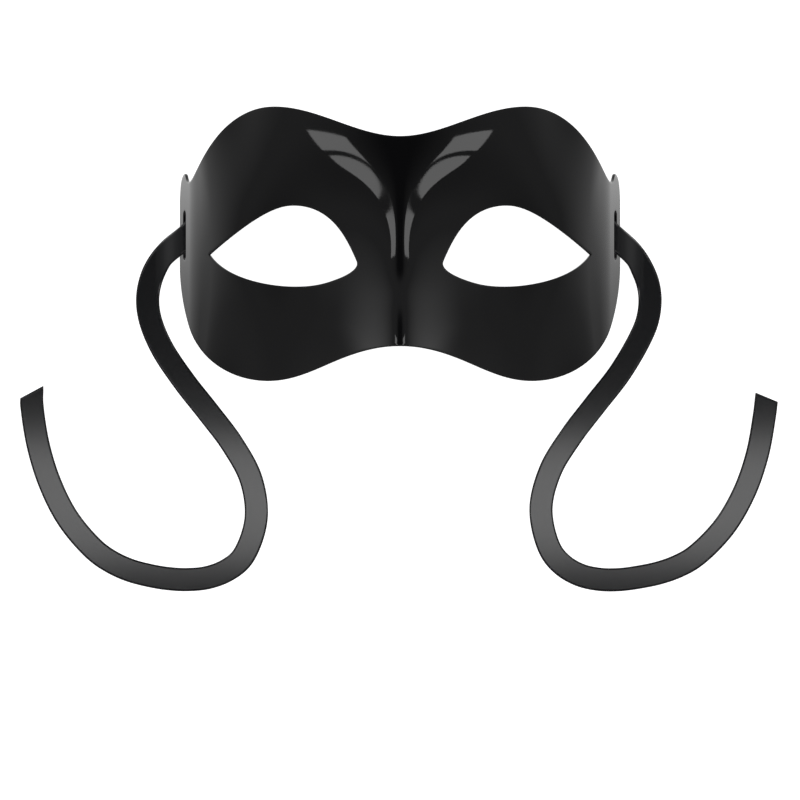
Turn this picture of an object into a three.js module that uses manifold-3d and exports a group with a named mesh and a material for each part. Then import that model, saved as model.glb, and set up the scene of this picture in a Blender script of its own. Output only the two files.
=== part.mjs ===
// Masquerade half mask: one moulded shell that lies face up, and the two ribbons that tie it on
// Millimetres. X runs across the face, Y towards the brow, Z out of the face, away from the floor.
// The origin is on the floor, under the middle of the shell.

import * as THREE from 'three';
import { mergeVertices } from 'three/addons/utils/BufferGeometryUtils.js';
import Module from 'manifold-3d';

// Shell sizes
const WALL = 1.2;
const HALF_WIDTH = 85;
const FRONT_HEIGHT = 50;
const FRONT_REACH = 32;
const SIDE_SLOPE = THREE.MathUtils.degToRad(68);
const LUG_FLAT = 12;
const TEMPLE_REACH = 25.3;

// Relief of the face: a tall bow, softly sunk eyes, and a nose that grows from the brow downwards
const BOW_RADIUS = 200;
const EYE_SINK = 6;
const EYE_SINK_AT = [34.3, 0];
const EYE_SINK_REACH = [22.7, 20.8];
const RELIEF_FADE_START = 55;

// Middle line of the nose: each row adds a slope below a height, and sets in over an onset
const CREST = [
  { slope: 0.18, start: 26.7, onset: 12 },
  { slope: 0.275, start: -14.8, onset: 3 },
  { slope: -0.1, start: -24, onset: 2.1 },
];

// The ridge across the nose: sharp above, where the brow is, and rounder below
const RIDGE_RADIUS_ABOVE = 1.8;
const RIDGE_RADIUS_BELOW = 6.1;
const RIDGE_REACH_ABOVE = 15.7;
const RIDGE_REACH_BELOW = 12;
const RIDGE_CHANGE_AT = -8;
const RIDGE_CHANGE_ONSET = 3.4;
const NOSE_FOOT = 0.94;
const NOSE_FADE = [22, 50];

// Slot in each side lug, given on the shell's surface as distance round the shell, then height
const SLOT_WIDTH = 3.5;
const SLOT_LENGTH = 19;
const SLOT_AT = [99.8, 4.7];
const SLOT_CUT = 8;

// Block below the floor, which trims the lugs' rear edges flat
const FLOOR_BLOCK = [255, 255, 20];

// Ribbon sizes
const RIBBON_WIDTH = 9;
const RIBBON_THICKNESS = 0.4;
const RIBBON_SELVEDGE = 0.1;
const RIBBON_REST = 0.25;
const RIBBON_SLOT_HEIGHT = 4.8;
const RIBBON_SLOT_CENTRE = [82.9, 3.8];
const RIBBON_DROP = [83, 94.5];
const RIBBON_LAID = [10, 38];
const SHEAR_FADE = [13, 36];
const END_TRIM = 12;
const FOLD_X = 82.25;
const FOLD_RADIUS = 1.6;

// Mesh fineness
const RINGS = 10;
const SLOT_END_STEPS = 8;
const FOLD_START = 6.5;
const FOLD_STRETCH = 15;
const DROP_STRETCH = 27;
const FINE_STEP = 0.75;
const RIBBON_STEP = 6.6;
const SLOPE_STEP = 0.01;
const CURVE_SAMPLES = 800;
const WELD_DISTANCE = 1e-4;

// Half outline of the shell laid out flat: distance round the shell from the middle, then height.
// Each row is one curve: start, two handles, end and the number of steps that it is cut into.
const OUTLINE = [
  { points: [[0, 39.2], [16.3, 39.2], [31.5, 51.5], [50, 51.5]], steps: 10 },
  { points: [[50, 51.5], [73.2, 51.5], [86.3, 24.9], [93.8, 24.9]], steps: 11 },
  { points: [[93.8, 24.9], [96.4, 24.9], [97.4, 28.4], [99.8, 28.4]], steps: 3 },
  { points: [[99.8, 28.4], [102.6, 28.4], [104.9, 26.4], [105.6, 21.5]], steps: 3 },
  { points: [[105.6, 21.5], [105.9, 19.5], [106.4, 17], [106.4, 14]], steps: 2 },
  { points: [[106.4, 14], [106.4, 8], [106.4, 2], [106.4, -4]], steps: 4 },
  { points: [[106.4, -4], [106.4, -21.1], [93.7, -32.1], [85, -38.8]], steps: 8 },
  { points: [[85, -38.8], [76.9, -45], [65.2, -51.5], [51, -51.5]], steps: 8 },
  { points: [[51, -51.5], [32.1, -51.5], [22, -38.8], [0, -38.8]], steps: 11 },
];
const MIDLINE = [
  { points: [[0, -38.8], [0, -9]], steps: 6 },
  { points: [[0, -9], [0, 39.2]], steps: 8 },
];

// Eye opening in the same layout, from the point that faces the middle of the brow
const EYE = [
  { points: [[27.6, 9.5], [32, 12.8], [36.8, 13.8], [41, 13.8]], steps: 10 },
  { points: [[41, 13.8], [51, 13.8], [62, 5.4], [78.8, -3.6]], steps: 22 },
  { points: [[78.8, -3.6], [69.5, -12.2], [51.6, -16.2], [39, -16.2]], steps: 17 },
  { points: [[39, -16.2], [33, -16.2], [28.8, -15.6], [22.6, -13.3]], steps: 11 },
  { points: [[22.6, -13.3], [19.4, -12.1], [15, -9.8], [16.3, -7.2]], steps: 6 },
  { points: [[16.3, -7.2], [19.3, -0.1], [22.6, 5.8], [27.6, 9.5]], steps: 8 },
];

// Routes of the ribbons' middle lines on the floor, from the glued end inside the lug to the cut end
const LEFT_ROUTE = [
  [-74.3, 11.4], [-82.9, 3.8], [-90.2, -2.2], [-94, -7.2], [-96.4, -13], [-97.4, -20], [-96.3, -27.8],
  [-91.9, -38.4], [-83.4, -51.2], [-73.8, -63.4], [-64.6, -75.7], [-57.4, -89.4], [-55.6, -104.8],
  [-60.8, -119.2], [-66.8, -124.2], [-74.2, -127], [-81.9, -127.8], [-89.6, -127.4], [-97.2, -126.1],
  [-104.8, -124], [-111.8, -120.7], [-118, -116.2], [-128, -104.5], [-135, -90.8], [-139.6, -76],
  [-142, -60.8], [-142.1, -55.4],
];
const RIGHT_ROUTE = [
  [74.3, 11.4], [82.9, 3.8], [89.9, -2.6], [93.4, -7.9], [95.7, -13.7], [96.5, -20], [95.5, -27.6],
  [92.6, -34.8], [84.8, -48.1], [75.3, -60.3], [66, -72.5], [58, -85.8], [54.4, -100.8], [57.8, -115.9],
  [62.6, -122], [69.4, -126], [77, -127.7], [84.8, -127.8], [92.4, -126.8], [100, -125.2], [107.3, -122.6],
  [113.9, -118.8], [124.9, -107.7], [132.7, -94.4], [137.8, -79.8], [140.6, -64.7], [141.5, -57.4],
];
const LEFT_CUT = 0.52;
const RIGHT_CUT = -0.28;

// The shell's plan curve, half of the band that wraps round the face, from the middle to the lug
const alongWall = new THREE.Vector2(Math.cos(SIDE_SLOPE), -Math.sin(SIDE_SLOPE));
const rearEdge = new THREE.Vector2(HALF_WIDTH, 0);
const lugStart = rearEdge.clone().addScaledVector(alongWall, -LUG_FLAT);
const wrapCurve = new THREE.CubicBezierCurve(
  new THREE.Vector2(0, FRONT_HEIGHT),
  new THREE.Vector2(FRONT_REACH, FRONT_HEIGHT),
  lugStart.clone().addScaledVector(alongWall, -TEMPLE_REACH),
  lugStart,
);
wrapCurve.arcLengthDivisions = CURVE_SAMPLES;
const lugDistance = wrapCurve.getLength();

const wasm = await Module();
wasm.setup();

// Point of the band at a distance round the shell, as side and height
function wrap(distance) {
  const reach = Math.abs(distance);
  const side = Math.sign(distance);
  if (reach >= lugDistance) {
    const point = lugStart.clone().addScaledVector(alongWall, reach - lugDistance);
    return [side * point.x, point.y];
  }
  const point = wrapCurve.getPointAt(reach / lugDistance);
  return [side * point.x, point.y];
}

// Share that grows smoothly from 0 at the low value to 1 at the high one
function rise(low, high, value) {
  return THREE.MathUtils.smootherstep(value, low, high);
}

// Bell curve round a middle value
function bell(value, middle, reach) {
  const off = (value - middle) / reach;
  return Math.exp(-off * off);
}

// Height of the nose's middle line above the brow
function crestHeight(y) {
  let height = 0;
  for (const { slope, start, onset } of CREST) {
    height += slope * onset * Math.log1p(Math.exp((start - y) / onset));
  }
  return height;
}

// Height of the nose: a rounded ridge whose feet run out softly into the face
function noseHeight(x, y) {
  const crest = crestHeight(y);
  const below = 1 / (1 + Math.exp((y - RIDGE_CHANGE_AT) / RIDGE_CHANGE_ONSET));
  const radius = THREE.MathUtils.lerp(RIDGE_RADIUS_ABOVE, RIDGE_RADIUS_BELOW, below);
  const reach = THREE.MathUtils.lerp(RIDGE_REACH_ABOVE, RIDGE_REACH_BELOW, below);
  const ridge = crest * (1 - (Math.hypot(x, radius) - radius) / reach);
  const foot = (ridge + Math.hypot(ridge, NOSE_FOOT * crest)) / 2;
  return foot * (1 - rise(NOSE_FADE[0], NOSE_FADE[1], Math.abs(x)));
}

// Height that the face's relief adds to the band
function relief(x, y, distance) {
  const bow = -(y * y) / (2 * BOW_RADIUS);
  const [middle, level] = EYE_SINK_AT;
  const [across, up] = EYE_SINK_REACH;
  const sink = EYE_SINK * (bell(x, middle, across) + bell(x, -middle, across)) * bell(y, level, up);
  const face = 1 - rise(RELIEF_FADE_START, lugDistance, Math.abs(distance));
  return face * (bow - sink) + noseHeight(x, y);
}

// Point of the shell's outer face at a distance round the shell and a height up the face
function surfacePoint(distance, y) {
  const [x, z] = wrap(distance);
  return new THREE.Vector3(x, y, z + relief(x, y, distance));
}

function surfaceNormal(distance, y) {
  const across = surfacePoint(distance + SLOPE_STEP, y).sub(surfacePoint(distance - SLOPE_STEP, y));
  const up = surfacePoint(distance, y + SLOPE_STEP).sub(surfacePoint(distance, y - SLOPE_STEP));
  return across.cross(up).normalize();
}

// Points along a closed chain of curves, without the last point, which is the first again
function chainPoints(rows) {
  const found = [];
  for (const row of rows) {
    const handles = row.points.map(([a, b]) => new THREE.Vector2(a, b));
    const straight = handles.length === 2;
    const curve = straight ? new THREE.LineCurve(...handles) : new THREE.CubicBezierCurve(...handles);
    found.push(...curve.getSpacedPoints(row.steps).slice(0, -1));
  }
  return found;
}

// Half of the shell: rings of points from the eye opening out to the outline, on both faces of the wall
function halfShellTriangles() {
  const outer = chainPoints([...OUTLINE, ...MIDLINE]);
  const inner = chainPoints(EYE);
  const count = outer.length;
  const open = OUTLINE.reduce((sum, row) => sum + row.steps, 0);
  const front = [];
  const back = [];
  for (let ring = 0; ring <= RINGS; ring += 1) {
    const share = ring / RINGS;
    for (let i = 0; i < count; i += 1) {
      const flat = inner[i].clone().lerp(outer[i], share);
      const place = surfacePoint(flat.x, flat.y);
      front.push(place);
      back.push(place.clone().addScaledVector(surfaceNormal(flat.x, flat.y), -WALL));
    }
  }
  const triangles = [];
  const quad = (a, b, c, d) => {
    triangles.push([a, b, c], [a, c, d]);
  };
  for (let i = 0; i < count; i += 1) {
    const next = (i + 1) % count;
    for (let ring = 0; ring < RINGS; ring += 1) {
      const low = ring * count;
      const high = low + count;
      quad(front[low + i], front[high + i], front[high + next], front[low + next]);
      quad(back[low + i], back[low + next], back[high + next], back[high + i]);
    }
    quad(front[next], back[next], back[i], front[i]);
    if (i < open) {
      const edge = RINGS * count;
      quad(front[edge + i], back[edge + i], back[edge + next], front[edge + next]);
    }
  }
  return triangles;
}

// The whole shell before it is cut: the half and its mirror image, welded along the middle
function shellBlank() {
  const values = [];
  for (const [a, b, c] of halfShellTriangles()) {
    for (const point of [a, c, b]) {
      values.push(point.x, point.y, point.z);
    }
    for (const point of [a, b, c]) {
      values.push(-point.x, point.y, point.z);
    }
  }
  const geometry = new THREE.BufferGeometry();
  geometry.setAttribute('position', new THREE.Float32BufferAttribute(values, 3));
  return geometry;
}

// Cutter for the slot of one lug: a slot with round ends, standing square to the lug's flat wall
function slotCutter(side) {
  const radius = SLOT_WIDTH / 2;
  const half = SLOT_LENGTH / 2 - radius;
  const shape = new THREE.Shape();
  shape.absarc(0, half, radius, 0, Math.PI, false);
  shape.absarc(0, -half, radius, Math.PI, 2 * Math.PI, false);
  shape.closePath();
  const geometry = new THREE.ExtrudeGeometry(shape, {
    depth: SLOT_CUT,
    bevelEnabled: false,
    curveSegments: SLOT_END_STEPS,
  });
  geometry.translate(0, 0, -SLOT_CUT / 2);
  geometry.rotateY(side * SIDE_SLOPE);
  const centre = surfacePoint(side * SLOT_AT[0], SLOT_AT[1]);
  return geometry.translate(centre.x, centre.y, centre.z);
}

// The block below the floor: with the lugs' rear edges trimmed flat, the shell rests on them
function floorCutter() {
  return new THREE.BoxGeometry(...FLOOR_BLOCK).translate(0, 0, -FLOOR_BLOCK[2] / 2);
}

function toSolid(geometry) {
  const bare = new THREE.BufferGeometry();
  bare.setAttribute('position', geometry.getAttribute('position').clone());
  bare.setIndex(geometry.index);
  const merged = mergeVertices(bare, WELD_DISTANCE);
  const vertProperties = new Float32Array(merged.getAttribute('position').array);
  const triVerts = new Uint32Array(merged.index.array);
  return new wasm.Manifold(new wasm.Mesh({ numProp: 3, vertProperties, triVerts }));
}

function toGeometry(solid) {
  const mesh = solid.getMesh();
  const geometry = new THREE.BufferGeometry();
  geometry.setAttribute('position', new THREE.Float32BufferAttribute(mesh.vertProperties, 3));
  geometry.setIndex(new THREE.Uint32BufferAttribute(mesh.triVerts, 1));
  geometry.computeVertexNormals();
  return geometry;
}

function maskShell() {
  let solid = toSolid(shellBlank());
  for (const cutter of [slotCutter(1), slotCutter(-1), floorCutter()]) {
    solid = solid.subtract(toSolid(cutter));
  }
  return toGeometry(solid);
}

// Height of a ribbon's middle above the floor: level through the slot, then down beside the lug
function ribbonHeight(x, y) {
  const away = Math.hypot(Math.abs(x) - RIBBON_SLOT_CENTRE[0], y - RIBBON_SLOT_CENTRE[1]);
  const beside = THREE.MathUtils.smoothstep(Math.abs(x), RIBBON_DROP[0], RIBBON_DROP[1]);
  const beyond = rise(RIBBON_LAID[0], RIBBON_LAID[1], away);
  return THREE.MathUtils.lerp(RIBBON_REST, RIBBON_SLOT_HEIGHT, (1 - beside) * (1 - beyond));
}

// Place of a ribbon's point: past the fold inside the lug it turns up along the inner face of the wall
function ribbonPlace(x, y, along, lift) {
  const past = FOLD_X - Math.abs(x);
  if (past <= 0 || along > FOLD_STRETCH) {
    return new THREE.Vector3(x, y, ribbonHeight(x, y) + lift);
  }
  const side = Math.sign(x);
  const turn = Math.min(past / FOLD_RADIUS, SIDE_SLOPE);
  const straight = Math.max(past - FOLD_RADIUS * SIDE_SLOPE, 0);
  const radius = FOLD_RADIUS - lift;
  const inward = radius * Math.sin(turn) + straight * Math.cos(turn);
  const upward = FOLD_RADIUS - radius * Math.cos(turn) + straight * Math.sin(turn);
  return new THREE.Vector3(side * (FOLD_X - inward), y, RIBBON_SLOT_HEIGHT + upward);
}

// Distances along a ribbon where its mesh has a ring: close together down to the floor, then wider
function ribbonStations(length) {
  const stations = [0];
  let at = FOLD_START;
  while (at < DROP_STRETCH) {
    stations.push(at);
    at += FINE_STEP;
  }
  const steps = Math.ceil((length - at) / RIBBON_STEP);
  for (let i = 0; i <= steps; i += 1) {
    stations.push(at + ((length - at) * i) / steps);
  }
  return stations;
}

// A ribbon: a flat tape, extruded straight and laid along its route, its far end cut at a slant
function ribbon(route, cut) {
  const points = route.map(([x, y]) => new THREE.Vector3(x, y, 0));
  const curve = new THREE.CatmullRomCurve3(points, false, 'centripetal');
  curve.arcLengthDivisions = CURVE_SAMPLES;
  const length = curve.getLength();
  const start = curve.getTangentAt(0);
  const slotShear = -start.y / start.x;
  const thick = RIBBON_THICKNESS / 2;
  const wide = RIBBON_WIDTH / 2;
  const flat = thick - RIBBON_SELVEDGE;
  const section = new THREE.Shape([
    new THREE.Vector2(wide - RIBBON_SELVEDGE, -thick),
    new THREE.Vector2(wide, -flat),
    new THREE.Vector2(wide, flat),
    new THREE.Vector2(wide - RIBBON_SELVEDGE, thick),
    new THREE.Vector2(RIBBON_SELVEDGE - wide, thick),
    new THREE.Vector2(-wide, flat),
    new THREE.Vector2(-wide, -flat),
    new THREE.Vector2(RIBBON_SELVEDGE - wide, -thick),
  ]);
  const stations = ribbonStations(length);
  const steps = stations.length - 1;
  const tape = new THREE.ExtrudeGeometry(section, { depth: steps, steps, bevelEnabled: false });
  const positions = tape.getAttribute('position');
  for (let i = 0; i < positions.count; i += 1) {
    const along = stations[Math.round(positions.getZ(i))];
    const across = -positions.getX(i);
    const middle = curve.getPointAt(along / length);
    const ahead = curve.getTangentAt(along / length);
    const shear = slotShear * (1 - rise(SHEAR_FADE[0], SHEAR_FADE[1], along));
    const slant = shear + cut * rise(length - END_TRIM, length, along);
    const x = middle.x + across * (ahead.y + slant * ahead.x);
    const y = middle.y + across * (slant * ahead.y - ahead.x);
    const place = ribbonPlace(x, y, along, positions.getY(i));
    positions.setXYZ(i, place.x, place.y, place.z);
  }
  return toGeometry(toSolid(tape));
}

function named(name, geometry, material) {
  const mesh = new THREE.Mesh(geometry, material);
  mesh.name = name;
  return mesh;
}

const glossPlastic = new THREE.MeshStandardMaterial({ color: 0x0a0a0b, roughness: 0.12, metalness: 0 });
const blackSatin = new THREE.MeshStandardMaterial({ color: 0x111215, roughness: 0.45, metalness: 0 });

const mask = new THREE.Group();
mask.add(named('mask_shell', maskShell(), glossPlastic));
mask.add(named('ribbon_left', ribbon(LEFT_ROUTE, LEFT_CUT), blackSatin));
mask.add(named('ribbon_right', ribbon(RIGHT_ROUTE, RIGHT_CUT), blackSatin));

export default mask;
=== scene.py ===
"""Looks of a plain masquerade half mask that lies face up, with its two tie ribbons.

The shell and the ribbons are modelled in millimetres on a flat pattern, as they would be cut, and are
then formed to their place in the frame, in metres: X across the face, Y towards the brow and Z out of
the face, up from the floor.
"""

import bisect
import logging
import math
from collections.abc import Iterable
from dataclasses import dataclass, field, replace
from enum import Enum
from typing import ClassVar

import bmesh
import bpy
from mathutils import Matrix, Vector
from mathutils.geometry import interpolate_bezier


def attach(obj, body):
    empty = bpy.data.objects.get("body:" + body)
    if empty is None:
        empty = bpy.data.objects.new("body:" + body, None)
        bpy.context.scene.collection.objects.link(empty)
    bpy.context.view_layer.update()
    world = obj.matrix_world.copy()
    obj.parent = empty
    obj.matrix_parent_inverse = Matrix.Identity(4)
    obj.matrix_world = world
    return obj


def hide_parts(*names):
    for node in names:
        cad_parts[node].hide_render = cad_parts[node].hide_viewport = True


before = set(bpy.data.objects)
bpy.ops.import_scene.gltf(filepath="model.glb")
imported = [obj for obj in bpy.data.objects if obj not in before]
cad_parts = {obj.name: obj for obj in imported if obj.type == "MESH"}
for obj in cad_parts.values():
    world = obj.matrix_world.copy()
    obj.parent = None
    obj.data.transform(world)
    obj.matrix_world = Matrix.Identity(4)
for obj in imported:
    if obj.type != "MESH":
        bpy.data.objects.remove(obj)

# Metres in a millimetre, and how close two points of the flat pattern count as one, in millimetres.
MM = 0.001
SAME_PLACE = 1e-4
CURVE_SAMPLES = 400
QUAD_CORNERS = 4
BODY = "root"

Flat = tuple[float, float]
Growth = dict[bmesh.types.BMVert, bmesh.types.BMVert]

log = logging.getLogger("mask")


class Side(Enum):
    """The side of the mask as the viewer sees it, with the sign of its X."""

    LEFT = -1
    RIGHT = 1


def smooth_rise(low: float, high: float, value: float) -> float:
    """Goes from 0 at low to 1 at high, flat at both ends."""
    share = min(max((value - low) / (high - low), 0.0), 1.0)
    return share * share * share * (share * (6.0 * share - 15.0) + 10.0)


def bell(value: float, middle: float, reach: float) -> float:
    """Bell curve round a middle value."""
    off = (value - middle) / reach
    return math.exp(-off * off)


class MeasuredLine:
    """A dense line of points that gives its place at any distance along it."""

    def __init__(self, points: list[Vector]) -> None:
        """Measures the line once."""
        self.points = points
        self.run = [0.0]
        for before, after in zip(points, points[1:]):
            self.run.append(self.run[-1] + (after - before).length)

    @property
    def length(self) -> float:
        """The line's whole length."""
        return self.run[-1]

    def index(self, distance: float) -> int:
        """Number of the point at or before a distance along the line, but never the last point."""
        return min(max(bisect.bisect_right(self.run, distance) - 1, 0), len(self.points) - 2)

    def place(self, distance: float) -> Vector:
        """Place at a distance along the line."""
        k = self.index(distance)
        share = (distance - self.run[k]) / (self.run[k + 1] - self.run[k])
        return self.points[k].lerp(self.points[k + 1], share)

    def ahead(self, distance: float) -> Vector:
        """Direction of the line at a distance along it."""
        k = self.index(distance)
        return (self.points[min(k + 2, len(self.points) - 1)] - self.points[max(k - 1, 0)]).normalized()


def finished_object(name: str, bm: bmesh.types.BMesh) -> bpy.types.Object:
    """Turns a bmesh into a smooth-shaded object at the origin.

    Args:
        name: The piece's name.
        bm: The finished bmesh, in metres. It is freed.

    Returns:
        The new object, linked to the scene.
    """
    mesh = bpy.data.meshes.new(name)
    for face in bm.faces:
        face.smooth = True
    bm.to_mesh(mesh)
    bm.free()
    piece = bpy.data.objects.new(name, mesh)
    bpy.context.scene.collection.objects.link(piece)
    return piece


def ends_of(edges: Iterable[bmesh.types.BMEdge]) -> list[bmesh.types.BMVert]:
    """The points of some edges, each once and in the edges' order."""
    return list(dict.fromkeys(vert for edge in edges for vert in edge.verts))


def grown(bm: bmesh.types.BMesh, edges: list[bmesh.types.BMEdge]) -> Growth:
    """Extrudes the open edges of a sheet.

    Args:
        bm: The sheet.
        edges: The edges to extrude.

    Returns:
        The new point that belongs to each point of the edges.
    """
    made = bmesh.ops.extrude_edge_only(bm, edges=edges)["geom"]
    fresh = {part for part in made if isinstance(part, bmesh.types.BMVert)}
    return {
        old: next(e.other_vert(old) for e in old.link_edges if e.other_vert(old) in fresh)
        for old in ends_of(edges)
    }


@dataclass(frozen=True)
class Stretch:
    """One curve of an outline on the flat pattern, in millimetres.

    A curve has two points where it is straight, or a start, two handles and an end.
    """

    points: tuple[Flat, ...]
    steps: int

    def places(self, fineness: int) -> list[Flat]:
        """Evenly spaced places along the curve, without the last one.

        Args:
            fineness: How many times the curve's own number of steps is used.

        Returns:
            The places, from the start of the curve.
        """
        handles = [Vector((*point, 0.0)) for point in self.points]
        if len(handles) == 2:
            line = MeasuredLine(handles)
        else:
            line = MeasuredLine(interpolate_bezier(*handles, CURVE_SAMPLES))
        count = self.steps * fineness
        places = [line.place(line.length * i / count) for i in range(count)]
        return [(place.x, place.y) for place in places]


def chain_places(chain: tuple[Stretch, ...], fineness: int) -> list[Flat]:
    """Places along a closed chain of stretches, each place once."""
    return [place for stretch in chain for place in stretch.places(fineness)]


def moved_aside(loop: list[Flat], distance: float) -> list[Flat]:
    """Moves a closed line sideways, keeping its corners even.

    Args:
        loop: The places along the line.
        distance: How far it moves to the right of the way that it runs.

    Returns:
        The moved places.
    """
    found = []
    for before, here, after in zip(loop[-1:] + loop[:-1], loop, loop[1:] + loop[:1]):
        sides = []
        for start, end in ((before, here), (here, after)):
            ahead = Vector(end) - Vector(start)
            sides.append(Vector((ahead.y, -ahead.x)).normalized())
        middle = (sides[0] + sides[1]).normalized()
        found.append(tuple(Vector(here) + middle * (distance / middle.dot(sides[0]))))
    return found


@dataclass(frozen=True)
class Crest:
    """One slope of the nose's middle line: it sets in below a height, softly over an onset."""

    slope: float
    start: float
    onset: float

    def height(self, y: float) -> float:
        """Height that the slope adds at a height up the face."""
        return self.slope * self.onset * math.log1p(math.exp((self.start - y) / self.onset))


@dataclass
class Nose:
    """The nose of the shell: a ridge that is sharp at the brow, and rounder and taller below."""

    crests: tuple[Crest, ...] = (
        Crest(0.18, 26.7, 12.0),
        Crest(0.275, -14.8, 3.0),
        Crest(-0.1, -24.0, 2.1),
    )
    radius_above: float = 1.8
    radius_below: float = 6.1
    reach_above: float = 15.7
    reach_below: float = 12.0
    change_at: float = -8.0
    change_onset: float = 3.4
    foot: float = 0.94
    fade: Flat = (22.0, 50.0)

    def height(self, x: float, y: float) -> float:
        """Height of the nose, whose feet run out softly into the face.

        Args:
            x: Side of the point.
            y: Height of the point up the face.

        Returns:
            The height that the nose adds to the face.
        """
        crest = sum(part.height(y) for part in self.crests)
        below = 1.0 / (1.0 + math.exp((y - self.change_at) / self.change_onset))
        radius = self.radius_above + (self.radius_below - self.radius_above) * below
        reach = self.reach_above + (self.reach_below - self.reach_above) * below
        ridge = crest * (1.0 - (math.hypot(x, radius) - radius) / reach)
        foot = (ridge + math.hypot(ridge, self.foot * crest)) / 2.0
        return foot * (1.0 - smooth_rise(*self.fade, abs(x)))


@dataclass
class FaceForm:
    """The surface that the shell's outer face follows, in millimetres.

    A band of even height wraps round the face. Its relief adds a bow from brow to cheek, softly sunk
    eyes and the nose.
    """

    nose: Nose = field(default_factory=Nose)
    half_width: float = 85.0
    front_height: float = 50.0
    front_reach: float = 32.0
    side_slope: float = math.radians(68)
    lug_flat: float = 12.0
    temple_reach: float = 25.3
    bow_radius: float = 200.0
    eye_sink: float = 6.0
    eye_sink_at: Flat = (34.3, 0.0)
    eye_sink_reach: Flat = (22.7, 20.8)
    relief_fade_start: float = 55.0
    curve_samples: int = 2000
    slope_step: float = 0.01

    def __post_init__(self) -> None:
        """Measures the band's plan curve once, from the middle to the start of the flat lug."""
        self.along = Vector((math.cos(self.side_slope), -math.sin(self.side_slope), 0.0))
        self.lug_start = Vector((self.half_width, 0.0, 0.0)) - self.along * self.lug_flat
        self.line = MeasuredLine(
            interpolate_bezier(
                Vector((0.0, self.front_height, 0.0)),
                Vector((self.front_reach, self.front_height, 0.0)),
                self.lug_start - self.along * self.temple_reach,
                self.lug_start,
                self.curve_samples,
            )
        )

    def wrap(self, distance: float) -> Flat:
        """Side and height of the band at a distance round it."""
        reach, side = abs(distance), math.copysign(1.0, distance)
        if reach >= self.line.length:
            place = self.lug_start + self.along * (reach - self.line.length)
        else:
            place = self.line.place(reach)
        return side * place.x, place.y

    def relief(self, x: float, y: float, distance: float) -> float:
        """Height that the face's relief adds to the band.

        Args:
            x: Side of the point.
            y: Height of the point up the face.
            distance: Distance of the point round the band.

        Returns:
            The added height out of the face.
        """
        bow = -y * y / (2.0 * self.bow_radius)
        middle, level = self.eye_sink_at
        across, up = self.eye_sink_reach
        eyes = bell(x, middle, across) + bell(x, -middle, across)
        sink = self.eye_sink * eyes * bell(y, level, up)
        face = 1.0 - smooth_rise(self.relief_fade_start, self.line.length, abs(distance))
        return face * (bow - sink) + self.nose.height(x, y)

    def place(self, distance: float, y: float) -> Vector:
        """Point of the outer face at a distance round the band and a height up the face."""
        x, z = self.wrap(distance)
        return Vector((x, y, z + self.relief(x, y, distance)))

    def normal(self, distance: float, y: float) -> Vector:
        """Direction out of the outer face at a distance round the band and a height up the face."""
        step = self.slope_step
        across = self.place(distance + step, y) - self.place(distance - step, y)
        up = self.place(distance, y + step) - self.place(distance, y - step)
        return across.cross(up).normalized()


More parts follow.
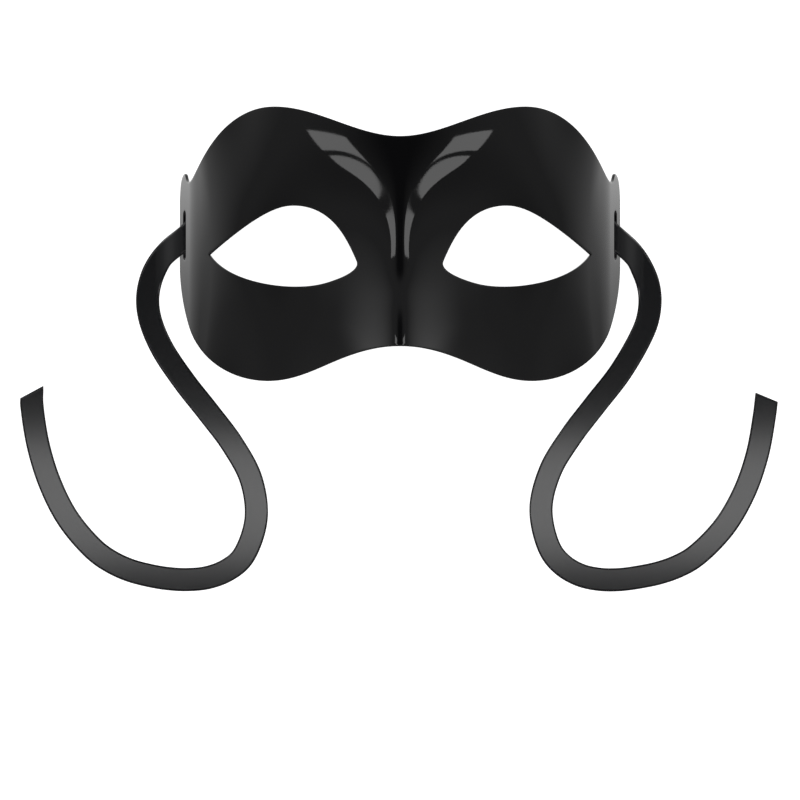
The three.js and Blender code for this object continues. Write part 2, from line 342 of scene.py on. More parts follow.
@dataclass
class Slot:
    """The slot with round ends that takes a ribbon, on the flat pattern, in millimetres."""

    centre: Flat = (99.8, 4.7)
    width: float = 3.5
    length: float = 19.0
    margin: float = 1.2
    rim_round: float = 0.12
    relax_reach: float = 4.8
    relax_passes: int = 6

    @property
    def straight(self) -> float:
        """Half the length of the slot's straight sides."""
        return (self.length - self.width) / 2.0

    def away(self, place: Vector) -> float:
        """Distance of a place, taken from the slot's centre, from the slot's edge."""
        beyond = max(abs(place.y) - self.straight, 0.0)
        return math.hypot(place.x, beyond) - self.width / 2.0

    def is_near(self, place: Vector) -> bool:
        """Tells whether a place on the flat pattern is close to either slot's edge."""
        from_centre = Vector((abs(place.x) - self.centre[0], place.y - self.centre[1], 0.0))
        return self.away(from_centre) < self.margin

    def edge_place(self, share: float, away: float) -> Vector:
        """Place on the line that runs round the slot at a distance from its edge.

        Args:
            share: Share of the way round, from the start of the right side.
            away: Distance of the line from the slot's edge.

        Returns:
            The place, taken from the slot's centre.
        """
        bend = math.pi * (self.width + self.margin) / 2.0
        half_lap = 2.0 * self.straight + bend
        at = share * 2.0 * half_lap
        side = 1.0 if at < half_lap else -1.0
        at = at % half_lap
        radius = self.width / 2.0 + away
        turn = max(at - 2.0 * self.straight, 0.0) / bend * math.pi
        climb = min(at, 2.0 * self.straight) - self.straight
        return Vector((math.cos(turn) * radius, climb + math.sin(turn) * radius, 0.0)) * side

    def cut(self, bm: bmesh.types.BMesh, side: Side) -> None:
        """Cuts the slot out of the flat pattern and lays even rings of points round it.

        Args:
            bm: The flat pattern.
            side: The side of the mask that the slot is on.
        """
        middle = Vector((side.value * self.centre[0], self.centre[1], 0.0))
        gone = [f for f in bm.faces if self.away(f.calc_center_median() - middle) < self.margin]
        near = {v for f in gone for v in f.verts}
        bmesh.ops.delete(bm, geom=gone, context="FACES")
        edges = [e for e in bm.edges if e.is_boundary and near.issuperset(e.verts)]
        ring = self.in_order(edges)
        corner = middle + self.edge_place(0.0, self.margin)
        start = min(range(len(ring)), key=lambda i: (ring[i].co - corner).length)
        ring = ring[start:] + ring[:start]
        area = sum((a.co - middle).cross(b.co - middle).z for a, b in zip(ring, ring[1:]))
        if area < 0.0:
            ring = ring[:1] + ring[:0:-1]
        rim = grown(bm, edges)
        line = MeasuredLine([v.co.copy() for v in [*ring, ring[0]]])
        for vert, run in zip(ring, line.run):
            vert.co = middle + self.edge_place(run / line.length, self.margin)
            rim[vert].co = middle + self.edge_place(run / line.length, self.rim_round)
        close = [v for v in bm.verts if self.away(v.co - middle) < self.relax_reach]
        round_it = [v for v in close if not v.is_boundary and v not in ring]
        for _ in range(self.relax_passes):
            bmesh.ops.smooth_vert(bm, verts=round_it, factor=0.5, use_axis_x=True, use_axis_y=True)

    @staticmethod
    def in_order(edges: list[bmesh.types.BMEdge]) -> list[bmesh.types.BMVert]:
        """The points of a closed loop of edges, in order round the loop."""
        first = edges[0]
        ring = [first.verts[0]]
        left, at = set(edges) - {first}, first.verts[1]
        while at is not ring[0]:
            ring.append(at)
            edge = next(e for e in at.link_edges if e in left)
            left.remove(edge)
            at = edge.other_vert(at)
        return ring


@dataclass
class MaskShell:
    """The moulded shell: a thin wall with two eye openings, a slot in each lug and rounded rims."""

    form: FaceForm = field(default_factory=FaceForm)
    slot: Slot = field(default_factory=Slot)
    wall: float = 1.2
    rim_round: float = 0.34
    rim_segments: int = 3
    sharp_angle: float = math.radians(40)
    floor_slack: float = 1e-7
    fineness: int = 4
    rings: int = 40
    relax_passes: int = 40
    outline: tuple[Stretch, ...] = (
        Stretch(((0, 39.2), (16.3, 39.2), (31.5, 51.5), (50, 51.5)), 10),
        Stretch(((50, 51.5), (73.2, 51.5), (86.3, 24.9), (93.8, 24.9)), 11),
        Stretch(((93.8, 24.9), (97.9, 24.2), (98.1, 28.1), (99.8, 28.4)), 3),
        Stretch(((99.8, 28.4), (102.6, 28.4), (104.9, 26.4), (105.6, 21.5)), 3),
        Stretch(((105.6, 21.5), (105.9, 19.5), (106.4, 17), (106.4, 14)), 2),
        Stretch(((106.4, 14), (106.4, 8), (106.4, 2), (106.4, -4)), 4),
        Stretch(((106.4, -4), (106.4, -21.1), (93.7, -32.1), (85, -38.8)), 8),
        Stretch(((85, -38.8), (76.9, -45), (65.2, -51.5), (51, -51.5)), 8),
        Stretch(((51, -51.5), (32.1, -51.5), (22, -38.8), (0, -38.8)), 11),
    )
    midline: tuple[Stretch, ...] = (
        Stretch(((0, -38.8), (0, -9)), 6),
        Stretch(((0, -9), (0, 39.2)), 8),
    )
    eye: tuple[Stretch, ...] = (
        Stretch(((27.6, 9.5), (32, 12.8), (36.8, 13.8), (41, 13.8)), 10),
        Stretch(((41, 13.8), (51, 13.8), (62, 5.4), (78.8, -3.6)), 19),
        Stretch(((78.8, -3.6), (69.5, -12.2), (51.6, -16.2), (39, -16.2)), 20),
        Stretch(((39, -16.2), (33, -16.2), (28.8, -15.6), (22.6, -13.3)), 11),
        Stretch(((22.6, -13.3), (19.4, -12.1), (15, -9.8), (16.3, -7.2)), 6),
        Stretch(((16.3, -7.2), (19.3, -0.1), (22.6, 5.8), (27.6, 9.5)), 8),
    )

    def flat_half(self) -> bmesh.types.BMesh:
        """Makes the right half of the flat sheet inside its rims, with rings round the eye opening."""
        eye = moved_aside(chain_places(self.eye, self.fineness), -self.rim_round)
        rim = chain_places((*self.outline, *self.midline), self.fineness)
        last = self.fineness * sum(stretch.steps for stretch in self.outline)
        other_half = [(-x, y) for x, y in reversed(rim[1:last])]
        rim[: last + 1] = moved_aside(rim[: last + 1] + other_half, self.rim_round)[: last + 1]
        bm = bmesh.new()
        loop = bmesh.ops.create_circle(bm, segments=len(eye), radius=1.0)["verts"]
        for vert, place in zip(loop, eye):
            vert.co = Vector((*place, 0.0))
        outer = grown(bm, bm.edges[:])
        for vert, place in zip(loop, rim):
            outer[vert].co = Vector((*place, 0.0))
        spokes = [bm.edges.get(pair) for pair in outer.items()]
        bmesh.ops.subdivide_edges(bm, edges=spokes, cuts=self.rings - 1, use_grid_fill=True)
        inner = [v for v in bm.verts if not v.is_boundary]
        for _ in range(self.relax_passes):
            bmesh.ops.smooth_vert(bm, verts=inner, factor=0.5, use_axis_x=True, use_axis_y=True)
        self.mend(bm)
        return bm

    @staticmethod
    def mend(bm: bmesh.types.BMesh) -> None:
        """Takes out the few points whose faces lap over at an inward corner, and closes the sheet up."""
        bmesh.ops.recalc_face_normals(bm, faces=bm.faces[:])
        bm.normal_update()
        up = sum(f.normal.z for f in bm.faces)
        while lapped := [f for f in bm.faces if f.normal.z * up < 0.0]:
            spare = list(dict.fromkeys(v for f in lapped for v in f.verts if not v.is_boundary))
            if not spare:
                break
            bmesh.ops.dissolve_verts(bm, verts=spare)
            wide = [f for f in bm.faces if len(f.verts) > QUAD_CORNERS]
            bmesh.ops.triangulate(bm, faces=wide, ngon_method="BEAUTY")
            bm.normal_update()

    def flat_pattern(self) -> bmesh.types.BMesh:
        """Makes the whole flat pattern with both slots cut, as a slab with rounded rims."""
        bm = self.flat_half()
        bmesh.ops.mirror(bm, geom=[*bm.verts, *bm.edges, *bm.faces], axis="X", merge_dist=SAME_PLACE)
        bmesh.ops.remove_doubles(bm, verts=bm.verts[:], dist=SAME_PLACE)
        for side in Side:
            self.slot.cut(bm, side)
        bmesh.ops.recalc_face_normals(bm, faces=bm.faces[:])
        bm.normal_update()
        sheet = [*bm.verts, *bm.edges, *bm.faces]
        last = self.grow_rims(bm)
        copied = bmesh.ops.duplicate(bm, geom=sheet)["geom"]
        back = [part for part in copied if isinstance(part, bmesh.types.BMVert)]
        bmesh.ops.translate(bm, verts=back, vec=(0.0, 0.0, -self.wall))
        bmesh.ops.remove_doubles(bm, verts=[*last, *back], dist=SAME_PLACE)
        bmesh.ops.recalc_face_normals(bm, faces=bm.faces[:])
        return bm

    def grow_rims(self, bm: bmesh.types.BMesh) -> list[bmesh.types.BMVert]:
        """Grows every open edge of the sheet round to the depth of the wall's back face.

        Args:
            bm: The flat sheet, whose open edges lie inside the rims by the size of the rounding.

        Returns:
            The points of the last rings.
        """
        lines = {}
        for vert in ends_of(e for e in bm.edges if e.is_boundary):
            size = self.slot.rim_round if self.slot.is_near(vert.co) else self.rim_round
            lines[vert] = (vert.co.copy(), self.outward(vert) * size, size)
        for out, front, back in self.rim_profile():
            rings = grown(bm, [e for e in bm.edges if e.is_boundary])
            for vert, fresh in rings.items():
                start, outward, size = lines[vert]
                depth = size * front + (self.wall - size) * back
                fresh.co = start + outward * out - Vector((0.0, 0.0, depth))
            lines = {fresh: lines[vert] for vert, fresh in rings.items()}
        return list(lines)

    def rim_profile(self) -> list[tuple[float, float, float]]:
        """Works out the steps of a rim's rounding, from the front face to the back face.

        Returns:
            For each step, the share of the rounding's size that it stands out, the share of that size
            that it lies deep, and the share of the rest of the wall that it lies deep.
        """
        quarter = math.pi / 2.0
        turns = [quarter * i / self.rim_segments for i in range(self.rim_segments + 1)]
        front = [(math.sin(turn), 1.0 - math.cos(turn), 0.0) for turn in turns[1:]]
        back = [(math.cos(turn), math.sin(turn), 1.0) for turn in turns]
        return front + back

    @staticmethod
    def outward(vert: bmesh.types.BMVert) -> Vector:
        """Direction out of the sheet at a point of its open edge, longer at a corner."""
        sides = []
        for edge in vert.link_edges:
            if edge.is_boundary:
                loop = edge.link_loops[0]
                ahead = loop.link_loop_next.vert.co - loop.vert.co
                sides.append(ahead.cross(loop.face.normal).normalized())
        middle = (sides[0] + sides[1]).normalized()
        return middle / middle.dot(sides[0])

    def formed(self, flat: Vector) -> Vector:
        """Place in the frame, in metres, of a point of the slab, whose Z is its depth in the wall."""
        return (self.form.place(flat.x, flat.y) + self.form.normal(flat.x, flat.y) * flat.z) * MM

    def build(self) -> bpy.types.Object:
        """Forms the slab to the face and trims the lugs flat on the floor.

        Returns:
            The shell's object.
        """
        bm = self.flat_pattern()
        for vert in bm.verts:
            vert.co = self.formed(vert.co)
        bmesh.ops.bisect_plane(
            bm,
            geom=[*bm.verts, *bm.edges, *bm.faces],
            dist=self.floor_slack,
            plane_co=(0.0, 0.0, 0.0),
            plane_no=(0.0, 0.0, -1.0),
            clear_outer=True,
        )
        bmesh.ops.holes_fill(bm, edges=[e for e in bm.edges if e.is_boundary], sides=0)
        bmesh.ops.recalc_face_normals(bm, faces=bm.faces[:])
        for edge in bm.edges:
            edge.smooth = edge.calc_face_angle(0.0) < self.sharp_angle
        return finished_object("shell", bm)

    def dress(self, piece: bpy.types.Object, material: bpy.types.Material) -> None:
        """Gives the shell its even shading and finish, and its place in the frame."""
        shading = piece.modifiers.new("even_shading", "WEIGHTED_NORMAL")
        shading.keep_sharp = True
        piece.data.materials.append(material)
        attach(piece, BODY)
        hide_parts("mask_shell")


@dataclass
class Ribbon:
    """A flat satin ribbon, laid along its route from the glued end inside the lug to its cut end."""

    side: Side
    route: tuple[Flat, ...]
    end_cut: float
    width: float = 9.0
    thickness: float = 0.4
    rest_height: float = 0.25
    slot_height: float = 4.8
    slot_centre: Flat = (82.9, 3.8)
    drop: Flat = (83.0, 94.5)
    laid: Flat = (10.0, 38.0)
    shear_fade: Flat = (13.0, 36.0)
    end_trim: float = 12.0
    fold_x: float = 82.25
    fold_radius: float = 1.6
    fold_angle: float = math.radians(68)
    fold_stretch: float = 15.0
    across: int = 12
    step: float = 0.9
    fold_step: float = 0.25
    curve_samples: ClassVar[int] = 40

    @property
    def name(self) -> str:
        """The piece's name."""
        return f"satin_ribbon_{self.side.name.lower()}"

    def line(self) -> MeasuredLine:
        """The route's smooth middle line on the floor, in millimetres."""
        points = [Vector((x, y, 0.0)) for x, y in self.route]
        ends = [points[0] * 2.0 - points[1], *points, points[-1] * 2.0 - points[-2]]
        dense = []
        for a, b, c, d in zip(ends, ends[1:], ends[2:], ends[3:]):
            dense.extend(self.centripetal(a, b, c, d))
        return MeasuredLine([*dense, points[-1]])

    @classmethod
    def centripetal(cls, a: Vector, b: Vector, c: Vector, d: Vector) -> list[Vector]:
        """Places from b to c on the centripetal curve through four points, without c itself."""
        ab, bc, cd = (math.sqrt((q - p).length) for p, q in ((a, b), (b, c), (c, d)))
        leave = ((b - a) / ab - (c - a) / (ab + bc) + (c - b) / bc) * bc
        arrive = ((c - b) / bc - (d - b) / (bc + cd) + (d - c) / cd) * bc
        return interpolate_bezier(b, b + leave / 3.0, c - arrive / 3.0, c, cls.curve_samples)[:-1]

    def height(self, x: float, y: float) -> float:
        """Height of the ribbon's middle: level through the slot, then down beside the lug."""
        away = math.hypot(abs(x) - self.slot_centre[0], y - self.slot_centre[1])
        share = min(max((abs(x) - self.drop[0]) / (self.drop[1] - self.drop[0]), 0.0), 1.0)
        beside = share * share * (3.0 - 2.0 * share)
        held = (1.0 - beside) * (1.0 - smooth_rise(*self.laid, away))
        return self.rest_height + (self.slot_height - self.rest_height) * held

    def place(self, x: float, y: float, along: float) -> Vector:
        """Place of the ribbon's middle surface, in metres.

        Past the fold inside the lug, the ribbon turns up along the inner face of the wall.

        Args:
            x: Side of the point on the flat layout.
            y: Height of the point on the flat layout.
            along: Distance of the point along the ribbon.

        Returns:
            The place in the frame.
        """
        past = self.fold_x - abs(x)
        if past <= 0.0 or along > self.fold_stretch:
            return Vector((x, y, self.height(x, y))) * MM
        turn = min(past / self.fold_radius, self.fold_angle)
        straight = max(past - self.fold_radius * self.fold_angle, 0.0)
        inward = self.fold_radius * math.sin(turn) + straight * math.cos(turn)
        upward = self.fold_radius * (1.0 - math.cos(turn)) + straight * math.sin(turn)
        return Vector((self.side.value * (self.fold_x - inward), y, self.slot_height + upward)) * MM

    def stations(self, length: float) -> list[float]:
        """Distances along the ribbon where it has a row of points, close together at the fold."""
        found = [0.0]
        while found[-1] < self.fold_stretch:
            found.append(found[-1] + self.fold_step)
        count = math.ceil((length - found[-1]) / self.step)
        start = found[-1]
        found.extend(start + (length - start) * (i + 1) / count for i in range(count))
        return found

    def build(self) -> tuple[bpy.types.Object, list[Vector]]:
        """Lays the ribbon out along its route.

        Returns:
            The ribbon's object, and the points of its middle line in metres.
        """
        line = self.line()
        stations = self.stations(line.length)
        rows = len(stations) - 1
        start = line.ahead(0.0)
        slot_shear = -start.y / start.x
        bm = bmesh.new()
        bmesh.ops.create_grid(bm, x_segments=self.across, y_segments=rows, size=1.0)
        layer = bm.loops.layers.uv.new("tape")
        laid: list[tuple[Vector, Vector, float, float]] = []
        middle: list[Vector] = []
        for along in stations:
            centre = line.place(along)
            shear = slot_shear * (1.0 - smooth_rise(*self.shear_fade, along))
            slant = shear + self.end_cut * smooth_rise(line.length - self.end_trim, line.length, along)
            middle.append(self.place(centre.x, centre.y, along))
            laid.append((centre, line.ahead(along), slant, along))
        for vert in bm.verts:
            row = round((vert.co.y + 1.0) / 2.0 * rows)
            across = -vert.co.x * self.width / 2.0
            centre, ahead, slant, along = laid[row]
            x = centre.x + across * (ahead.y + slant * ahead.x)
            y = centre.y + across * (slant * ahead.y - ahead.x)
            for loop in vert.link_loops:
                loop[layer].uv = (across * MM, (along + slant * across) * MM)
            vert.co = self.place(x, y, along)
        bmesh.ops.recalc_face_normals(bm, faces=bm.faces[:])
        return finished_object(self.name, bm), middle

    def dress(self, piece: bpy.types.Object, path: list[Vector], material: bpy.types.Material) -> None:
        """Gives the ribbon its thickness and finish and its place in the frame, and logs its length."""
        wall = piece.modifiers.new("thickness", "SOLIDIFY")
        wall.thickness = self.thickness * MM
        wall.offset = 0.0
        piece.data.materials.append(material)
        piece.visible_glossy = False
        length = sum((after - before).length for before, after in zip(path, path[1:]))
        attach(piece, BODY)
        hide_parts(f"ribbon_{self.side.name.lower()}")
        log.info("%s is %.0f mm long", self.name, length / MM)


# The slant of each ribbon's cut end: millimetres along the ribbon for each millimetre across it.
LEFT_END_CUT = 0.52
RIGHT_END_CUT = -0.28

# The places, in millimetres on the floor, that each ribbon's middle line runs through.
LEFT_ROUTE: tuple[Flat, ...] = (
    (-74.3, 11.4), (-82.9, 3.8), (-90.2, -2.2), (-94, -7.2), (-96.4, -13), (-97.4, -20), (-96.3, -27.8),
    (-91.9, -38.4), (-83.4, -51.2), (-73.8, -63.4), (-64.6, -75.7), (-57.4, -89.4), (-55.6, -104.8),
    (-60.8, -119.2), (-66.8, -124.2), (-74.2, -127), (-81.9, -127.8), (-89.6, -127.4), (-97.2, -126.1),
    (-104.8, -124), (-111.8, -120.7), (-118, -116.2), (-128, -104.5), (-135, -90.8), (-139.6, -76),
    (-142, -60.8), (-142.1, -55.4),
)
RIGHT_ROUTE: tuple[Flat, ...] = (
    (74.3, 11.4), (82.9, 3.8), (89.9, -2.6), (93.4, -7.9), (95.7, -13.7), (96.5, -20), (95.5, -27.6),
    (92.6, -34.8), (84.8, -48.1), (75.3, -60.3), (66, -72.5), (58, -85.8), (54.4, -100.8),
    (57.8, -115.9), (62.6, -122), (69.4, -126), (77, -127.7), (84.8, -127.8), (92.4, -126.8),
    (100, -125.2), (107.3, -122.6), (113.9, -118.8), (124.9, -107.7), (132.7, -94.4), (137.8, -79.8),
    (140.6, -64.7), (141.5, -57.4),
)


class NodeKit:
    """Short ways to place and join shader nodes in one tree."""

    def __init__(self, tree: bpy.types.NodeTree) -> None:
        """Works on the given tree."""
        self.tree = tree

    def add(self, kind: str, **values: object) -> bpy.types.Node:
        """Adds a node and sets its own properties and, by name, its input sockets.

        Args:
            kind: The node's Blender type name, without ShaderNode in front.
            values: Properties of the node, or sockets with spaces written as underscores.

        Returns:
            The new node.
        """
        node = self.tree.nodes.new(f"ShaderNode{kind}")
        for key, value in values.items():
            if hasattr(node, key) and key not in node.inputs:
                setattr(node, key, value)
            else:
                node.inputs[key.replace("_", " ")].default_value = value
        return node

    def math(self, operation: str, first: object, second: object = 0.0) -> bpy.types.NodeSocket:
        """Adds a Math node fed by sockets or numbers, and returns its output."""
        node = self.tree.nodes.new("ShaderNodeMath")
        node.operation = operation
        for socket, value in zip(node.inputs, (first, second)):
            if isinstance(value, bpy.types.NodeSocket):
                self.link(value, socket)
            else:
                socket.default_value = value
        return node.outputs[0]

    def ramp(self, value: bpy.types.NodeSocket, source: Flat, target: Flat) -> bpy.types.NodeSocket:
        """Adds a smooth change between two target values as the value crosses the source range."""
        node = self.tree.nodes.new("ShaderNodeMapRange")
        node.interpolation_type = "SMOOTHSTEP"
        limits = zip(("From Min", "From Max", "To Min", "To Max"), (*source, *target))
        for name, limit in limits:
            node.inputs[name].default_value = limit
        self.link(value, node.inputs["Value"])
        return node.outputs["Result"]

    def slope(self, value: bpy.types.NodeSocket, source: Flat) -> bpy.types.NodeSocket:
        """Adds an even change from 0 to 1 as the value crosses the source range."""
        node = self.add("MapRange", From_Min=source[0], From_Max=source[1])
        self.link(value, node.inputs["Value"])
        return node.outputs["Result"]

    def link(self, source: bpy.types.NodeSocket, target: bpy.types.NodeSocket) -> None:
        """Joins an output to an input."""
        self.tree.links.new(source, target)


def new_material(name: str) -> tuple[bpy.types.Material, NodeKit, bpy.types.Node]:
    """Makes a material with one Principled shader.

    Args:
        name: The material's name.
    """
    material = bpy.data.materials.new(name)
    material.use_nodes = True
    kit = NodeKit(material.node_tree)
    shader = next(n for n in material.node_tree.nodes if n.type == "BSDF_PRINCIPLED")
    return material, kit, shader


class PatchyGroup:
    """A soft patchy value over a surface, shared by the finishes for haze and wear."""

    inputs: ClassVar[tuple[tuple[str, float], ...]] = (("Scale", 40.0), ("Low", 0.0), ("High", 1.0))
    detail: ClassVar[float] = 4.0
    noise_roughness: ClassVar[float] = 0.55
    spread_from: ClassVar[Flat] = (0.3, 0.7)
    _tree: ClassVar[bpy.types.NodeTree | None] = None

    @classmethod
    def tree(cls) -> bpy.types.NodeTree:
        """The node group, built once: a coordinate and a scale in, a value between two limits out."""
        if cls._tree is None:
            tree = bpy.data.node_groups.new("patchy_value", "ShaderNodeTree")
            tree.interface.new_socket("Vector", in_out="INPUT", socket_type="NodeSocketVector")
            for name, value in cls.inputs:
                socket = tree.interface.new_socket(name, in_out="INPUT", socket_type="NodeSocketFloat")
                socket.default_value = value
            tree.interface.new_socket("Value", in_out="OUTPUT", socket_type="NodeSocketFloat")
            kit = NodeKit(tree)
            source = tree.nodes.new("NodeGroupInput")
            target = tree.nodes.new("NodeGroupOutput")
            noise = kit.add("TexNoise", Detail=cls.detail, Roughness=cls.noise_roughness)
            kit.link(source.outputs["Vector"], noise.inputs["Vector"])
            kit.link(source.outputs["Scale"], noise.inputs["Scale"])
            least, most = cls.spread_from
            spread = kit.add("MapRange", From_Min=least, From_Max=most)
            kit.link(noise.outputs["Fac"], spread.inputs["Value"])
            kit.link(source.outputs["Low"], spread.inputs["To Min"])
            kit.link(source.outputs["High"], spread.inputs["To Max"])
            kit.link(spread.outputs["Result"], target.inputs["Value"])
            cls._tree = tree
        return cls._tree

    @classmethod
    def place(
        cls, kit: NodeKit, vector: bpy.types.NodeSocket, scale: float, low: float, high: float
    ) -> bpy.types.NodeSocket:
        """Places the group in a material with its own values, and returns its output."""
        node = kit.tree.nodes.new("ShaderNodeGroup")
        node.node_tree = cls.tree()
        kit.link(vector, node.inputs["Vector"])
        for name, value in (("Scale", scale), ("Low", low), ("High", high)):
            node.inputs[name].default_value = value
        return node.outputs["Value"]


@dataclass(frozen=True)
class GlossPlastic:
    """Black moulded plastic with a high gloss, a faint haze and a very slight moulding ripple."""

    colour: tuple[float, float, float, float] = (0.0045, 0.0045, 0.005, 1.0)
    ior: float = 1.5
    haze_scale: float = 55.0
    gloss: Flat = (0.02, 0.045)
    ripple_scale: float = 38.0
    ripple_depth: float = 0.00004
    grain_scale: float = 2600.0
    grain_depth: float = 0.0000012

    def material(self) -> bpy.types.Material:
        """Makes the finish."""
        material, kit, shader = new_material("gloss_black_plastic")
        where = kit.add("TexCoord").outputs["Object"]
        shader.inputs["Base Color"].default_value = self.colour
        shader.inputs["IOR"].default_value = self.ior
        haze = PatchyGroup.place(kit, where, self.haze_scale, *self.gloss)
        kit.link(haze, shader.inputs["Roughness"])
        ripple = kit.add("TexNoise", Scale=self.ripple_scale, Detail=1.0)
        grain = kit.add("TexNoise", Scale=self.grain_scale, Detail=2.0)
        kit.link(where, ripple.inputs["Vector"])
        kit.link(where, grain.inputs["Vector"])
        low = kit.math("MULTIPLY", ripple.outputs["Fac"], self.ripple_depth)
        fine = kit.math("MULTIPLY", grain.outputs["Fac"], self.grain_depth)
        bump = kit.add("Bump", Strength=1.0, Distance=1.0)
        kit.link(kit.math("ADD", low, fine), bump.inputs["Height"])
        kit.link(bump.outputs["Normal"], shader.inputs["Normal"])
        return material


@dataclass(frozen=True)
class SatinWeave:
    """Black satin ribbon: long warp threads, sparse ties and a cool sheen."""

    colour: tuple[float, float, float, float] = (0.0042, 0.0046, 0.006, 1.0)
    thread: float = 0.00018
    tie: float = 0.0009
    tie_shift: float = 0.4
    tie_sharpness: float = 6.0
    weave_depth: float = 0.000004
    weave_strength: float = 0.6
    wear_scale: float = 90.0
    roughness: Flat = (0.3, 0.36)
    sheen_level: float = 0.19
    coat_roughness: float = 0.1

    def material(self) -> bpy.types.Material:
        """Makes the finish, on the ribbon's own UV map, which is in metres."""
        material, kit, shader = new_material("black_satin")
        tape = kit.add("UVMap", uv_map="tape").outputs["UV"]
        split = kit.add("SeparateXYZ")
        kit.link(tape, split.inputs[0])
        turns = kit.math("MULTIPLY", split.outputs["X"], 2.0 * math.pi / self.thread)
        warp = kit.math("ABSOLUTE", kit.math("SINE", kit.math("MULTIPLY", turns, 0.5)))
        number = kit.math("FLOOR", kit.math("DIVIDE", split.outputs["X"], self.thread))
        offset = kit.math("MULTIPLY", number, self.tie_shift)
        shifted = kit.math("ADD", kit.math("DIVIDE", split.outputs["Y"], self.tie), offset)
        phase = kit.math("FRACT", shifted)
        tie = kit.math("SMOOTH_MIN", kit.math("MULTIPLY", phase, self.tie_sharpness), 1.0)
        height = kit.math("MULTIPLY", kit.math("MULTIPLY", warp, tie), self.weave_depth)
        bump = kit.add("Bump", Strength=self.weave_strength, Distance=1.0)
        kit.link(height, bump.inputs["Height"])
        kit.link(bump.outputs["Normal"], shader.inputs["Normal"])
        where = kit.add("TexCoord").outputs["Object"]
        wear = PatchyGroup.place(kit, where, self.wear_scale, *self.roughness)
        kit.link(wear, shader.inputs["Roughness"])
        shader.inputs["Base Color"].default_value = self.colour
        shader.inputs["Specular IOR Level"].default_value = self.sheen_level
        shader.inputs["Coat Weight"].default_value = 1.0
        shader.inputs["Coat Roughness"].default_value = self.coat_roughness
        return material


@dataclass(frozen=True)
class StudioFloor:
    """A plain pale floor that glows a little, like a lit table."""

    half_size: float = 8.0
    colour: tuple[float, float, float, float] = (0.9, 0.9, 0.9, 1.0)
    roughness: float = 0.9
    specular: float = 0.1
    glow: float = 1.0

    def build(self) -> None:
        """Makes the floor, which glossy rays don't see."""
        bm = bmesh.new()
        bmesh.ops.create_grid(bm, x_segments=1, y_segments=1, size=self.half_size)
        floor = finished_object("studio_floor", bm)
        material, _, shader = new_material("pale_floor")
        shader.inputs["Base Color"].default_value = self.colour
        shader.inputs["Roughness"].default_value = self.roughness
        shader.inputs["Specular IOR Level"].default_value = self.specular
        shader.inputs["Emission Color"].default_value = self.colour
        shader.inputs["Emission Strength"].default_value = self.glow
        floor.data.materials.append(material)
        floor.visible_glossy = False


@dataclass(frozen=True)
class SoftLight:
    """A rectangular soft light.

    It is placed by its centre, the direction that it faces and the direction that its width runs.
    """

    name: str
    place: tuple[float, float, float]
    facing: tuple[float, float, float]
    along: tuple[float, float, float]
    size: Flat
    radiance: float
    in_gloss: bool = True

    def mirrored(self) -> "SoftLight":
        """The same light on the other side of the mask."""
        flip = {key: (-value[0], *value[1:]) for key, value in self.directions().items()}
        return replace(self, name=f"{self.name}_mirrored", **flip)

    def directions(self) -> dict[str, tuple[float, float, float]]:
        """The values that change sides in a mirror."""
        return {"place": self.place, "facing": self.facing, "along": self.along}

    def build(self) -> None:
        """Makes the light, with its energy taken from its radiance and its area."""
        data = bpy.data.lights.new(self.name, "AREA")
        data.shape = "RECTANGLE"
        data.size, data.size_y = self.size
        data.energy = self.radiance * self.size[0] * self.size[1] * math.pi
        back = -Vector(self.facing).normalized()
        across = Vector(self.along)
        across = (across - back * across.dot(back)).normalized()
        turn = Matrix((across, back.cross(across), back)).transposed()
        light = bpy.data.objects.new(self.name, data)
        light.matrix_world = Matrix.Translation(self.place) @ turn.to_4x4()
        light.visible_glossy = self.in_gloss
        bpy.context.scene.collection.objects.link(light)


@dataclass(frozen=True)
class Room:
    """The grey room round the mask: dark straight above, lighter low down and towards the brow."""

    grey: Flat = (0.24, 0.14)
    grey_height: Flat = (0.66, 0.88)
    low_height: float = 0.58
    low_side: Flat = (-0.08, 0.1)
    low_gain: Flat = (0.2, 0.68)
    under_height: float = -0.3
    under_side: Flat = (0.015, 0.09)
    under_gain: float = 1.2
    under_loss: float = 0.28
    dark_share: float = 0.93
    dark_side: Flat = (0.164, 0.421)
    dark_height: Flat = (0.724, 0.849)

    def build(self) -> None:
        """Makes the world's shader from the direction alone."""
        world = bpy.data.worlds.new("studio")
        world.use_nodes = True
        bpy.context.scene.world = world
        kit = NodeKit(world.node_tree)
        back = next(n for n in world.node_tree.nodes if n.type == "BACKGROUND")
        split = kit.add("SeparateXYZ")
        kit.link(kit.add("TexCoord").outputs["Generated"], split.inputs[0])
        side = kit.math("ABSOLUTE", split.outputs["X"])
        middle = kit.ramp(side, self.dark_side, (self.dark_share, 0.0))
        above = kit.ramp(split.outputs["Z"], self.dark_height, (0.0, 1.0))
        light = kit.math("SUBTRACT", 1.0, kit.math("MULTIPLY", middle, above))
        grey = kit.ramp(split.outputs["Z"], self.grey_height, self.grey)
        near_floor = kit.slope(split.outputs["Z"], (self.low_height, 0.0))
        gain = kit.ramp(split.outputs["Y"], self.low_side, self.low_gain)
        low = kit.math("MULTIPLY", near_floor, gain)
        under = kit.slope(split.outputs["Z"], (0.0, self.under_height))
        brow = kit.math("POWER", kit.slope(split.outputs["Y"], self.under_side), 2.0)
        change = kit.math("SUBTRACT", kit.math("MULTIPLY", brow, self.under_gain), self.under_loss)
        low = kit.math("ADD", low, kit.math("MULTIPLY", under, change))
        grey = kit.math("ADD", low, grey)
        back.inputs["Color"].default_value = (1.0, 1.0, 1.0, 1.0)
        kit.link(kit.math("MULTIPLY", grey, light), back.inputs["Strength"])


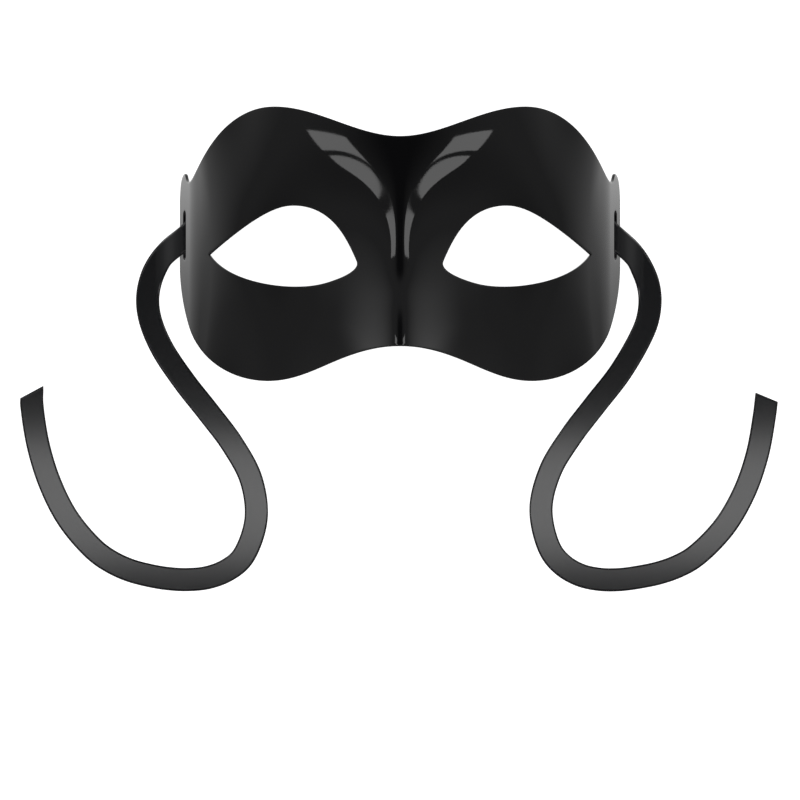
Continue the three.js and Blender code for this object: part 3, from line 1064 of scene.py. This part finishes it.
@dataclass(frozen=True)
class Studio:
    """The camera straight above the mask, the room, and the soft lights."""

    eye_height: float = 1.1
    centre_y: float = -0.0585
    frame_width: float = 0.3088
    sensor: float = 36.0
    clip_start: float = 0.01
    windows: tuple[SoftLight, ...] = (
        SoftLight(
            name="window_high",
            place=(-1.589, 1.445, 2.939),
            facing=(0.929, 0.368, -0.03),
            along=(-0.141, 0.429, 0.892),
            size=(2.167, 0.404),
            radiance=2.4,
        ),
        SoftLight(
            name="window_low",
            place=(-1.525, 0.919, 3.179),
            facing=(-0.054, 0.536, -0.842),
            along=(0.852, 0.465, 0.242),
            size=(0.662, 1.096),
            radiance=2.4,
        ),
    )
    overhead: SoftLight = SoftLight(
        name="overhead",
        place=(0.0, -0.139, 1.2),
        facing=(0.0, 0.0, -1.0),
        along=(1.0, 0.0, 0.0),
        size=(0.9, 0.1),
        radiance=3.3,
    )
    fill: SoftLight = SoftLight(
        name="fill",
        place=(0.0, 0.0, 2.0),
        facing=(0.0, 0.0, -1.0),
        along=(1.0, 0.0, 0.0),
        size=(2.0, 2.0),
        radiance=0.9,
        in_gloss=False,
    )

    def camera(self) -> None:
        """Makes the camera, which looks straight down with the brow up."""
        data = bpy.data.cameras.new("camera")
        data.sensor_width = self.sensor
        data.lens = self.sensor * self.eye_height / self.frame_width
        data.clip_start = self.clip_start
        camera = bpy.data.objects.new("camera", data)
        camera.location = (0.0, self.centre_y, self.eye_height)
        bpy.context.scene.collection.objects.link(camera)
        bpy.context.scene.camera = camera

    def build(self) -> None:
        """Makes the camera, the room and the lights."""
        bpy.context.scene.view_settings.view_transform = "Standard"
        self.camera()
        Room().build()
        for window in self.windows:
            window.build()
            window.mirrored().build()
        self.overhead.build()
        self.fill.build()


def main() -> None:
    """Builds the stage and the mask, and logs each ribbon's length and the shell's number of faces."""
    logging.basicConfig(level=logging.INFO, format="%(message)s")
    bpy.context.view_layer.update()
    Studio().build()
    StudioFloor().build()
    satin = SatinWeave().material()
    for ribbon in (
        Ribbon(Side.LEFT, LEFT_ROUTE, LEFT_END_CUT),
        Ribbon(Side.RIGHT, RIGHT_ROUTE, RIGHT_END_CUT),
    ):
        piece, path = ribbon.build()
        ribbon.dress(piece, path, satin)
    shell = MaskShell()
    piece = shell.build()
    shell.dress(piece, GlossPlastic().material())
    log.info("shell has %d faces", len(piece.data.polygons))


if __name__ == "__main__":
    main()
